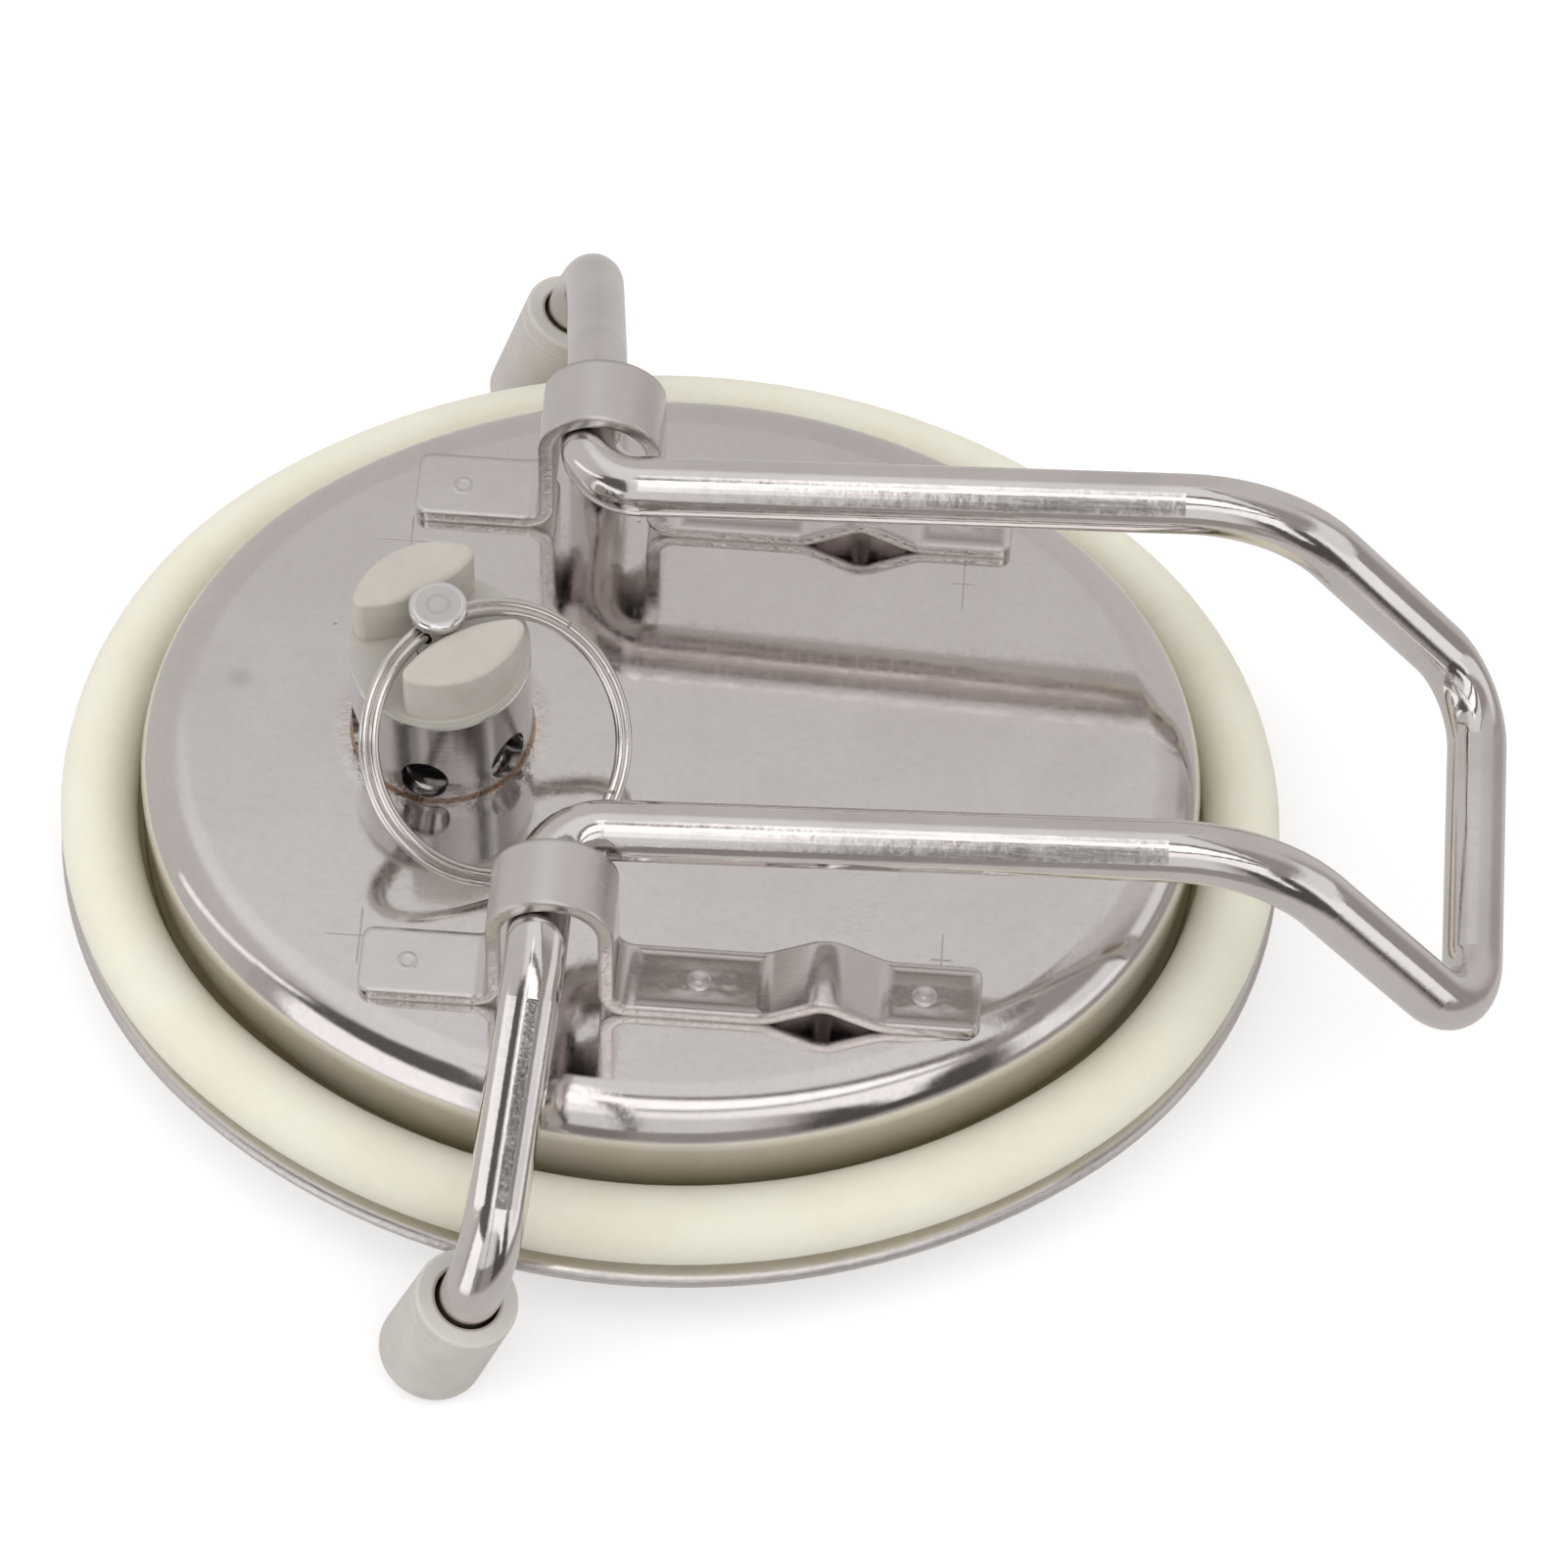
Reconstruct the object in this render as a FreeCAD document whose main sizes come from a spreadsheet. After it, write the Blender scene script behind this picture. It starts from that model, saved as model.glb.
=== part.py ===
import FreeCAD, Part
import math
import os
import Sketcher

# Oval keg lid: a stamped crown with its gasket, a wire bail in two welded brackets
# and a screw-in pressure relief valve with a pull ring.
# Frame: the origin is the centre of the plane where the top of the gasket meets the keg mouth.
# +X runs from the relief valve towards the grip, +Z points out of the keg.
# All sizes are in millimetres and all angles in degrees.

SIZES = (
    ("gasket_half_width", 43.8, "gasket centreline, half of its short side"),
    ("oval_stretch", 7.7, "half length less half width of the oval"),
    ("oval_blend", 0.6, "share of the stretch taken off the end radius"),
    ("gasket_section", 6.9, "diameter of the gasket cord"),
    ("gasket_clearance", 0.6, "crown wall to gasket"),
    ("flange_lip", 0.2, "flange beyond the gasket"),
    ("sheet", 1.3, "sheet of the crown and flange"),
    ("crown_rise", 13.5, "flange top to panel top"),
    ("shoulder_round", 4.3, "outside radius of the crown shoulder"),
    ("root_round", 0.8, "radius where the wall meets the flange"),
    ("flange_edge_round", 0.3, "edge of the flange"),
    ("strap_width", 6.6, "bracket strap, across the lid"),
    ("strap_sheet", 1.3, "bracket sheet"),
    ("strap_inset", 14.15, "crown wall to the middle of a strap"),
    ("strap_bend", 1.5, "inside radius where a tunnel leg meets its tab"),
    ("strap_corner", 1.1, "rounded corners of the end tabs"),
    ("rear_tab", 11.4, "tab behind the tunnel"),
    ("middle_tab", 13.2, "tab between tunnel and hump"),
    ("front_tab", 8.6, "tab in front of the hump"),
    ("hump_width", 10.0, "length of the hump in the strap"),
    ("hump_rise", 2.3, "height of the hump"),
    ("hump_bend", 1.7, "inside radius at the top of the hump"),
    ("hump_foot_bend", 3.0, "outside radius at the feet of the hump"),
    ("tunnel_setback", 8.25, "middle of the tunnels behind the centre"),
    ("pivot_setback", 9.15, "bail pivot behind the centre"),
    ("pivot_rise", 12.7, "pivot above the panel"),
    ("tunnel_play", 1.5, "wire to tunnel leg, each side"),
    ("arch_clearance", 0.6, "wire to the top of the tunnel"),
    ("wire_diameter", 5.4, "bail wire"),
    ("arm_gap", 1.25, "strap side to arm"),
    ("pivot_bend", 5.0, "wire bend between pivot and arm"),
    ("arm_reach", 61.8, "pivot to elbow"),
    ("arm_climb", 3.7, "elbow above the pivot"),
    ("elbow_bend", 16.0, "wire bend at the elbow"),
    ("grip_reach", 81.6, "pivot to grip bar"),
    ("grip_drop", 21.9, "grip bar below the pivot"),
    ("grip_bend", 7.0, "wire bend at the grip corners"),
    ("leg_exit", 2.4, "straight wire outside each tunnel"),
    ("leg_exit_bend", 12.0, "wire bend outside each tunnel"),
    ("leg_drop", 14.8, "ankle below the pivot"),
    ("leg_lean", 2.3, "ankle behind the pivot"),
    ("ankle_bend", 9.0, "wire bend above each foot"),
    ("foot_lean_back", 0.3, "rearward slope of the feet"),
    ("foot_lean_in", 0.1, "inward slope of the feet"),
    ("foot_drop", 6.4, "ankle corner to the top of the foot"),
    ("foot_length", 13.2, "rubber foot"),
    ("foot_radius", 4.6, "foot at its top face"),
    ("foot_flare", 0.2, "growth of the radius towards the bottom"),
    ("foot_round", 1.2, "bottom edge of the foot"),
    ("foot_rim_round", 0.35, "top edge of the foot"),
    ("foot_floor", 3.6, "rubber under the wire end"),
    ("foot_play", 0.25, "bore of the foot around the wire"),
    ("foot_clearance", 0.35, "foot to flange edge as it swings past"),
    ("valve_setback", 20.4, "valve axis behind the centre"),
    ("slot_turn", 34.0, "direction of the plug slot"),
    ("ring_turn", 38.3, "direction of the cross hole in the stem"),
    ("bung_radius", 8.0, "steel bung"),
    ("bung_wall", 2.0, "wall of the bung"),
    ("bung_rise", 11.4, "bung above the panel"),
    ("bung_edge", 0.35, "bevel on the upper rim"),
    ("spigot_radius", 6.9, "bung where it passes through the panel"),
    ("spigot_depth", 1.2, "bung below the panel sheet"),
    ("bung_floor", 1.6, "thickness of the bung floor"),
    ("inlet_radius", 2.2, "gas inlet in the floor"),
    ("seat_width", 0.8, "raised seat around the inlet"),
    ("seat_rise", 0.6, "height of the seat"),
    ("vent_count", 6, "vents around the bung"),
    ("vent_diameter", 4.3, "vent"),
    ("vent_rise", 3.1, "vent mouth above the panel"),
    ("vent_slope", 35.0, "vents run down towards the axis"),
    ("vent_turn", -36.0, "direction of the first vent"),
    ("thread_clearance", 0.05, "plug in the bung, radial"),
    ("plug_head", 0.9, "plug flange on the rim of the bung"),
    ("plug_skirt", 6.4, "plug inside the bung"),
    ("plug_ceiling", 1.7, "plug above its spring pocket"),
    ("pocket_radius", 3.9, "spring pocket"),
    ("lug_rise", 5.7, "finger lugs above the plug flange"),
    ("lug_bow", 12.0, "radius of the inner side of a lug"),
    ("lug_inset", 0.3, "lugs inside the edge of the plug flange"),
    ("slot_width", 4.9, "slot between the lugs"),
    ("lug_tip_round", 1.0, "rounded ends of the lugs"),
    ("lug_round", 0.6, "upper edges of the lugs"),
    ("stem_radius", 2.0, "stem"),
    ("stem_clearance", 0.06, "stem in the plug, radial"),
    ("neck_rise", 5.35, "stem above the plug flange, up to the button"),
    ("button_radius", 2.6, "button on the stem"),
    ("button_depth", 1.35, "thickness of the button"),
    ("button_round", 0.45, "edge of the button"),
    ("ring_hole_radius", 1.3, "cross hole for the pull ring"),
    ("ring_hole_gap", 0.05, "button to the cross hole"),
    ("rivet_radius", 1.3, "stem inside the poppet"),
    ("rivet_clearance", 0.05, "poppet around the stem, radial"),
    ("seal_radius", 3.6, "seal disc"),
    ("seal_depth", 1.6, "thickness of the seal disc"),
    ("seal_recess", 1.0, "part of the seal inside the poppet"),
    ("poppet_wall", 0.8, "poppet around the seal"),
    ("poppet_depth", 2.4, "height of the poppet"),
    ("spring_wire", 0.7, "spring wire"),
    ("spring_play", 0.4, "spring to pocket wall"),
    ("spring_turns", 5, "turns of the spring"),
    ("ring_wire", 0.95, "wire of the pull ring"),
    ("ring_radius", 12.7, "outside radius of the pull ring"),
    ("ring_step", 0.75, "radial step between its two turns"),
    ("ring_pitch", 0.45, "axial step between its two turns"),
    ("ring_notch", 0.35, "gap at each end of the ring wire"),
    ("ring_end_turn", 60.0, "gap in the outer turn, from the cross hole"),
    ("ring_end_lap", 80.0, "angle from that gap to the one in the inner turn"),
    ("ring_rest_gap", 0.2, "lowest point of the ring above the panel"),
)


class Size:
    """A size with its value and the spreadsheet formula that gives it."""

    def __init__(self, value, formula):
        self.value = float(value)
        self.formula = formula

    @staticmethod
    def of(other):
        return other if isinstance(other, Size) else Size(other, repr(float(other)))

    def join(self, other, sign, value):
        return Size(value, "(" + self.formula + " " + sign + " " + other.formula + ")")

    def __add__(self, other):
        other = Size.of(other)
        return self.join(other, "+", self.value + other.value)

    def __sub__(self, other):
        other = Size.of(other)
        return self.join(other, "-", self.value - other.value)

    def __mul__(self, other):
        other = Size.of(other)
        return self.join(other, "*", self.value * other.value)

    def __truediv__(self, other):
        other = Size.of(other)
        return self.join(other, "/", self.value / other.value)

    def __radd__(self, other):
        return Size.of(other) + self

    def __rsub__(self, other):
        return Size.of(other) - self

    def __rmul__(self, other):
        return Size.of(other) * self

    def __neg__(self):
        return 0 - self


class Lengths:
    """The named sizes, each one a Size, and the sizes that follow from them."""


def vector(*parts):
    return FreeCAD.Vector(*[Size.of(part).value for part in parts])


def write_sheet(doc):
    """Put every driving size into the spreadsheet and return them by name."""
    sheet = doc.addObject("Spreadsheet::Sheet", "Sizes")
    named = Lengths()
    for row, (name, value, note) in enumerate(SIZES, start=1):
        sheet.set("A%d" % row, note)
        sheet.set("B%d" % row, str(value))
        sheet.setAlias("B%d" % row, name)
        setattr(named, name, Size(value, "Sizes." + name))
    return named


def derive(s):
    """Work out the levels and places that several pieces share."""
    s.flange_top = -s.gasket_section
    s.flange_bottom = s.flange_top - s.sheet
    s.panel = s.flange_top + s.crown_rise
    s.gasket_radius = s.gasket_section / 2
    s.crown_inset = s.gasket_radius + s.gasket_clearance
    s.flange_reach = s.gasket_radius + s.flange_lip
    s.wire_radius = s.wire_diameter / 2
    s.end_radius = s.gasket_half_width - s.oval_blend * s.oval_stretch
    s.end_offset = s.gasket_half_width + s.oval_stretch - s.end_radius
    s.side_radius = (
        s.end_offset * s.end_offset
        + s.gasket_half_width * s.gasket_half_width
        - s.end_radius * s.end_radius
    ) / (2 * (s.gasket_half_width - s.end_radius))
    s.side_offset = s.side_radius - s.gasket_half_width
    s.strap_offset = s.gasket_half_width - s.crown_inset - s.strap_inset
    s.arm_offset = s.strap_offset - s.strap_width / 2 - s.arm_gap - s.wire_radius
    s.pivot_level = s.panel + s.pivot_rise
    s.bung_top = s.panel + s.bung_rise
    s.bung_bottom = s.panel - s.sheet - s.spigot_depth
    s.floor_top = s.bung_bottom + s.bung_floor
    s.seat_top = s.floor_top + s.seat_rise
    s.bore_radius = s.bung_radius - s.bung_wall
    s.plug_top = s.bung_top + s.plug_head
    s.pocket_top = s.plug_top - s.plug_ceiling
    s.poppet_bottom = s.seat_top + s.seal_depth - s.seal_recess
    s.poppet_top = s.poppet_bottom + s.poppet_depth
    s.button_bottom = s.plug_top + s.neck_rise
    s.ring_hole_level = s.button_bottom - s.ring_hole_gap - s.ring_hole_radius
    return s


def bind(thing, prop, size):
    thing.setExpression(prop, Size.of(size).formula)


def new_body(doc, label):
    body = doc.addObject("PartDesign::Body", label)
    body.Label = label
    return body


def origin_item(body, role):
    return [item for item in body.Origin.OriginFeatures if item.Role == role][0]


def new_sketch(body, role, name, level=None):
    """A sketch on one of the body's own origin planes, lifted to a level."""
    sketch = body.newObject("Sketcher::SketchObject", name)
    sketch.AttachmentSupport = [(origin_item(body, role), "")]
    sketch.MapMode = "FlatFace"
    if level is not None:
        sketch.AttachmentOffset = FreeCAD.Placement(vector(0, 0, level), FreeCAD.Rotation())
        bind(sketch, "AttachmentOffset.Base.z", level)
    return sketch


def limit(sketch, kind, references, size):
    """Add a dimension to the sketch and tie it to the spreadsheet."""
    index = sketch.addConstraint(Sketcher.Constraint(kind, *references, size.value))
    bind(sketch, "Constraints[%d]" % index, size)


def place_point(sketch, geometry, end, across, up):
    """Hold one point of the sketch at its two coordinates."""
    for size, kind, axis in ((across, "DistanceX", -2), (up, "DistanceY", -1)):
        if isinstance(size, Size):
            limit(sketch, kind, (geometry, end), size)
        else:
            sketch.addConstraint(Sketcher.Constraint("PointOnObject", geometry, end, axis))


def outline(sketch, points):
    """A closed outline of straight lines through points given as sizes, with 0 for on the axis."""
    spots = [vector(across, up, 0) for across, up in points]
    count = len(spots)
    for index in range(count):
        sketch.addGeometry(Part.LineSegment(spots[index], spots[(index + 1) % count]), False)
    for index in range(count):
        sketch.addConstraint(Sketcher.Constraint("Coincident", index, 2, (index + 1) % count, 1))
    for index, (across, up) in enumerate(points):
        place_point(sketch, index, 1, across, up)


def circle(sketch, across, up, radius):
    """A circle whose centre and radius are sizes."""
    axis = FreeCAD.Vector(0, 0, 1)
    index = sketch.addGeometry(Part.Circle(vector(across, up, 0), axis, radius.value), False)
    place_point(sketch, index, 3, across, up)
    limit(sketch, "Radius", (index,), radius)


def oval(sketch, s, offset):
    """The lid's oval, four tangent arcs, moved outwards by an offset from the gasket line."""
    turn = math.atan2(s.side_offset.value, s.end_offset.value)
    arcs = (
        (s.end_offset, 0, s.end_radius, -turn, turn),
        (0, -s.side_offset, s.side_radius, turn, math.pi - turn),
        (-s.end_offset, 0, s.end_radius, math.pi - turn, math.pi + turn),
        (0, s.side_offset, s.side_radius, math.pi + turn, 2 * math.pi - turn),
    )
    for across, up, radius, start, end in arcs:
        base = Part.Circle(vector(across, up, 0), FreeCAD.Vector(0, 0, 1), (radius + offset).value)
        sketch.addGeometry(Part.ArcOfCircle(base, start, end), False)
    for index in range(4):
        sketch.addConstraint(Sketcher.Constraint("Tangent", index, 2, (index + 1) % 4, 1))
    for index, (across, up, radius, start, end) in enumerate(arcs):
        limit(sketch, "Radius", (index,), radius + offset)
        if index % 2 == 0:
            place_point(sketch, index, 3, across, up)


def pad(body, sketch, length, name="Pad"):
    feature = body.newObject("PartDesign::Pad", name)
    feature.Profile = sketch
    feature.Length = length.value
    bind(feature, "Length", length)
    return feature


def pocket(body, sketch, length, reverse, name="Pocket"):
    """A pocket, with a test that it takes material away."""
    doc = body.Document
    doc.recompute()
    before = body.Shape.Volume
    feature = body.newObject("PartDesign::Pocket", name)
    feature.Profile = sketch
    feature.Length = length.value
    feature.Reversed = reverse
    bind(feature, "Length", length)
    doc.recompute()
    if not body.Shape.Volume < before:
        raise RuntimeError(body.Label + ": " + name + " cuts nothing")
    return feature


def revolve(body, sketch, name="Turned"):
    feature = body.newObject("PartDesign::Revolution", name)
    feature.Profile = sketch
    feature.ReferenceAxis = (sketch, ["V_Axis"])
    feature.Angle = 360.0
    return feature


def round_edges(body, base, radius, chosen, name="Rounded"):
    """Fillet the edges of a feature that a test picks."""
    body.Document.recompute()
    picked = [
        "Edge%d" % number
        for number, edge in enumerate(base.Shape.Edges, start=1)
        if chosen(edge)
    ]
    if not picked:
        raise RuntimeError(body.Label + ": " + name + " found no edge")
    feature = body.newObject("PartDesign::Fillet", name)
    feature.Base = (base, picked)
    feature.Radius = radius.value
    bind(feature, "Radius", radius)
    body.Document.recompute()
    return feature


def edge_at_level(level):
    """A test for edges that lie flat at a level."""
    def chosen(edge):
        box = edge.BoundBox
        return abs(box.ZMin - level.value) < 1e-4 and abs(box.ZMax - level.value) < 1e-4
    return chosen


def make_lid_shell(doc, s):
    """The stamped lid: a flat flange and a hollow crown with a hole for the bung."""
    body = new_body(doc, "lid_shell")
    rim = new_sketch(body, "XY_Plane", "FlangeOutline", s.flange_bottom)
    oval(rim, s, s.flange_reach)
    pad(body, rim, s.sheet, "Flange")
    wall = new_sketch(body, "XY_Plane", "CrownOutline", s.flange_bottom)
    oval(wall, s, -s.crown_inset)
    crown = pad(body, wall, s.crown_rise + s.sheet, "Crown")

    def at_root(edge):
        reach = s.gasket_half_width + s.oval_stretch
        return edge_at_level(s.flange_top)(edge) and edge.BoundBox.XMax < reach.value

    root = round_edges(body, crown, s.root_round, at_root, "Root")

    def at_rim(edge):
        reach = s.gasket_half_width + s.oval_stretch
        flat = edge_at_level(s.flange_top)(edge) or edge_at_level(s.flange_bottom)(edge)
        return flat and max(abs(edge.BoundBox.XMax), abs(edge.BoundBox.YMax),
                            abs(edge.BoundBox.XMin), abs(edge.BoundBox.YMin)) > reach.value - 8
    round_edges(body, root, s.flange_edge_round, at_rim, "FlangeEdge")
    hollow = new_sketch(body, "XY_Plane", "HollowOutline", s.flange_bottom)
    oval(hollow, s, -(s.crown_inset + s.sheet))
    inside = pocket(body, hollow, s.crown_rise, True, "Hollow")
    ceiling = s.panel - s.sheet
    inner_round = s.shoulder_round - s.sheet
    inner = round_edges(body, inside, inner_round, edge_at_level(ceiling), "HollowShoulder")
    round_edges(body, inner, s.shoulder_round, edge_at_level(s.panel), "Shoulder")
    hole = new_sketch(body, "XY_Plane", "BungHole", s.panel)
    circle(hole, -s.valve_setback, 0, s.spigot_radius)
    pocket(body, hole, s.sheet, False, "BungOpening")
    return body


def make_gasket(doc, s):
    """The gasket: a round cord on the oval centreline, lying on the flange."""
    body = new_body(doc, "lid_gasket")
    path = new_sketch(body, "XY_Plane", "CordLine", -s.gasket_radius)
    oval(path, s, Size.of(0))
    section = new_sketch(body, "XZ_Plane", "CordSection")
    reach = s.gasket_half_width + s.oval_stretch
    circle(section, reach, -s.gasket_radius, s.gasket_radius)
    doc.recompute()
    cord = body.newObject("PartDesign::AdditivePipe", "Cord")
    cord.Profile = section
    cord.Spine = (path, ["Edge%d" % number for number in range(1, 5)])
    return body


def bent_strip(points, bends, sheet):
    """Both sides of a bent strip, as a closed wire of lines and arcs in the XZ plane.

    The points are the corners of the strip's lower side and the bends their radii,
    measured on the inside of each turn.
    """
    def unit(start, end):
        return (end - start).normalize()

    def left(direction):
        return FreeCAD.Vector(-direction.z, 0, direction.x)

    def side(offset):
        shifted = []
        for index, point in enumerate(points):
            before = unit(points[index - 1], point) if index > 0 else None
            after = unit(point, points[index + 1]) if index < len(points) - 1 else None
            if before is None or after is None:
                shifted.append(point + left(after or before) * offset)
                continue
            mid = (left(before) + left(after)).normalize()
            shifted.append(point + mid * (offset / mid.dot(left(before))))
        edges = []
        start = shifted[0]
        for index in range(1, len(shifted) - 1):
            before = unit(shifted[index - 1], shifted[index])
            after = unit(shifted[index], shifted[index + 1])
            turn = before.getAngle(after)
            goes_left = left(before).dot(after) > 0
            inner = bends[index - 1]
            radius = inner + (0 if goes_left == (offset > 0) else sheet)
            run = radius * math.tan(turn / 2)
            first = shifted[index] - before * run
            last = shifted[index] + after * run
            normal = left(before) if goes_left else -left(before)
            centre = first + normal * radius
            middle = centre + (shifted[index] - centre).normalize() * radius
            edges.append(Part.LineSegment(start, first).toShape())
            edges.append(Part.Arc(first, middle, last).toShape())
            start = last
        edges.append(Part.LineSegment(start, shifted[-1]).toShape())
        return edges, shifted[0], shifted[-1]

    lower, lower_start, lower_end = side(0)
    upper, upper_start, upper_end = side(sheet)
    closing = [
        Part.LineSegment(lower_start, upper_start).toShape(),
        Part.LineSegment(lower_end, upper_end).toShape(),
    ]
    return Part.Wire(Part.__sortEdges__(lower + upper + closing))


def make_bracket(doc, s, label, side):
    """A bracket: one strap bent into a tunnel for the bail and a low hump, welded to the panel."""
    half_tunnel = (s.wire_radius + s.tunnel_play).value
    tunnel_x = -s.tunnel_setback.value
    arch_inside = (s.pivot_rise + s.wire_radius + s.arch_clearance).value
    sheet = s.strap_sheet.value
    outer = half_tunnel + sheet
    hump_start = tunnel_x + outer + s.middle_tab.value
    hump_end = hump_start + s.hump_width.value
    hump_middle = (hump_start + hump_end) / 2
    rise = s.hump_rise.value
    corners = (
        (tunnel_x - outer - s.rear_tab.value, 0),
        (tunnel_x - half_tunnel, 0),
        (tunnel_x - half_tunnel, arch_inside),
        (tunnel_x + half_tunnel, arch_inside),
        (tunnel_x + half_tunnel, 0),
        (hump_start, 0),
        (hump_middle, rise + s.hump_bend.value * 0.35),
        (hump_end, 0),
        (hump_end + s.front_tab.value, 0),
    )
    arch = half_tunnel * 0.99
    bend = s.strap_bend.value
    bends = (bend, arch, arch, bend, s.hump_foot_bend.value, s.hump_bend.value, s.hump_foot_bend.value)
    level = s.panel.value
    points = [FreeCAD.Vector(across, 0, level + up) for across, up in corners]
    face = Part.Face(bent_strip(points, bends, sheet))
    width = s.strap_width.value
    strip = face.extrude(FreeCAD.Vector(0, width, 0))
    strip.translate(FreeCAD.Vector(0, -width / 2, 0))
    ends = (corners[0][0], corners[-1][0])
    tab_corners = [
        edge for edge in strip.Edges
        if edge.BoundBox.ZLength > 0.9 * sheet
        and edge.BoundBox.XLength < 1e-6
        and edge.BoundBox.YLength < 1e-6
        and min(abs(edge.BoundBox.XMin - end) for end in ends) < 1e-6
    ]
    strip = strip.makeFillet(s.strap_corner.value, tab_corners)
    piece = doc.addObject("Part::Feature", label)
    piece.Label = label
    piece.Shape = strip
    piece.Placement = FreeCAD.Placement(vector(0, side * s.strap_offset, 0), FreeCAD.Rotation())
    bind(piece, "Placement.Base.y", side * s.strap_offset)
    return piece


def rounded_path(points, bends):
    """A wire of straight runs joined by tangent arcs, one bend radius for each inner point."""
    edges = []
    start = points[0]
    for index in range(1, len(points) - 1):
        corner = points[index]
        before = (corner - points[index - 1]).normalize()
        after = (points[index + 1] - corner).normalize()
        turn = before.getAngle(after)
        radius = bends[index - 1]
        run = radius * math.tan(turn / 2)
        first = corner - before * run
        last = corner + after * run
        inward = (after - before).normalize()
        centre = corner + inward * (radius / math.cos(turn / 2))
        middle = centre - inward * radius
        edges.append(Part.LineSegment(start, first).toShape())
        edges.append(Part.Arc(first, middle, last).toShape())
        start = last
    edges.append(Part.LineSegment(start, points[-1]).toShape())
    return Part.Wire(edges)


def foot_axis(s, side):
    """The direction in which a foot points, down and slightly rearward and inward."""
    direction = vector(-s.foot_lean_back, -side * s.foot_lean_in, -1)
    return direction.normalize()


def ankle_corner(s, side):
    """The corner of the wire above a foot, set so that the foot swings clear of the flange."""
    level = s.pivot_level - s.leg_drop
    slope = math.sqrt(1 + s.foot_lean_in.value ** 2)
    flange = s.gasket_half_width + s.flange_reach
    foot = (s.foot_radius + s.foot_flare) * slope
    lean = s.foot_lean_in * (level - s.flange_bottom)
    reach = flange + s.foot_clearance + foot + lean
    return vector(-s.pivot_setback - s.leg_lean, side * reach, level)


def foot_top(s, side):
    """The middle of a foot's top face."""
    return ankle_corner(s, side) + foot_axis(s, side) * s.foot_drop.value


def make_bail(doc, s):
    """The bail: one wire with a grip, two arms, two pivots and two legs."""
    inserted = (s.foot_length - s.foot_floor).value
    pivot_x = -s.pivot_setback
    elbow_x = pivot_x + s.arm_reach
    elbow_level = s.pivot_level + s.arm_climb
    grip_x = pivot_x + s.grip_reach
    grip_level = s.pivot_level - s.grip_drop
    outside = s.strap_offset + s.strap_width / 2 + s.leg_exit
    half = []
    for side in (-1, 1):
        top = foot_top(s, side)
        half.append([
            top + foot_axis(s, side) * inserted,
            ankle_corner(s, side),
            vector(pivot_x, side * outside, s.pivot_level),
            vector(pivot_x, side * s.arm_offset, s.pivot_level),
            vector(elbow_x, side * s.arm_offset, elbow_level),
            vector(grip_x, side * s.arm_offset, grip_level),
        ])
    points = half[0] + half[1][::-1]
    one_side = [s.ankle_bend, s.leg_exit_bend, s.pivot_bend, s.elbow_bend, s.grip_bend]
    bends = [bend.value for bend in one_side + one_side[::-1]]
    path = rounded_path(points, bends)
    section = Part.Circle(points[0], points[1] - points[0], s.wire_radius.value)
    wire = path.makePipeShell([Part.Wire(section.toShape())], True, False)
    expected = math.pi * s.wire_radius.value ** 2 * path.Length
    if abs(wire.Volume - expected) > 0.002 * expected:
        raise RuntimeError("bail_wire: the volume is not its section times its length")
    piece = doc.addObject("Part::Feature", "bail_wire")
    piece.Label = "bail_wire"
    piece.Shape = wire
    return piece


def make_foot(doc, s, label, side):
    """A rubber foot: a slightly flared cap with a blind bore for the wire."""
    body = new_body(doc, label)
    profile = new_sketch(body, "XZ_Plane", "FootProfile")
    bore = s.wire_radius + s.foot_play
    low = s.foot_radius + s.foot_flare
    outline(profile, (
        (0, -s.foot_length),
        (low, -s.foot_length),
        (s.foot_radius, 0),
        (bore, 0),
        (bore, s.foot_floor - s.foot_length),
        (0, s.foot_floor - s.foot_length),
    ))
    turned = revolve(body, profile)

    def at_radius(level, least):
        return lambda edge: edge_at_level(level)(edge) and edge.BoundBox.XMax > least.value

    base = round_edges(body, turned, s.foot_round, at_radius(-s.foot_length, bore), "FootBottom")
    round_edges(body, base, s.foot_rim_round, at_radius(Size.of(0), bore + s.foot_play), "FootRim")
    turn = FreeCAD.Rotation(FreeCAD.Vector(0, 0, -1), foot_axis(s, side))
    body.Placement = FreeCAD.Placement(foot_top(s, side), turn)
    return body


def at_valve(s, body, turn):
    """Set a valve piece upright on the valve axis, turned about it."""
    rotation = FreeCAD.Rotation(FreeCAD.Vector(0, 0, 1), turn.value)
    body.Placement = FreeCAD.Placement(vector(-s.valve_setback, 0, 0), rotation)
    bind(body, "Placement.Base.x", -s.valve_setback)
    return body


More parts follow.
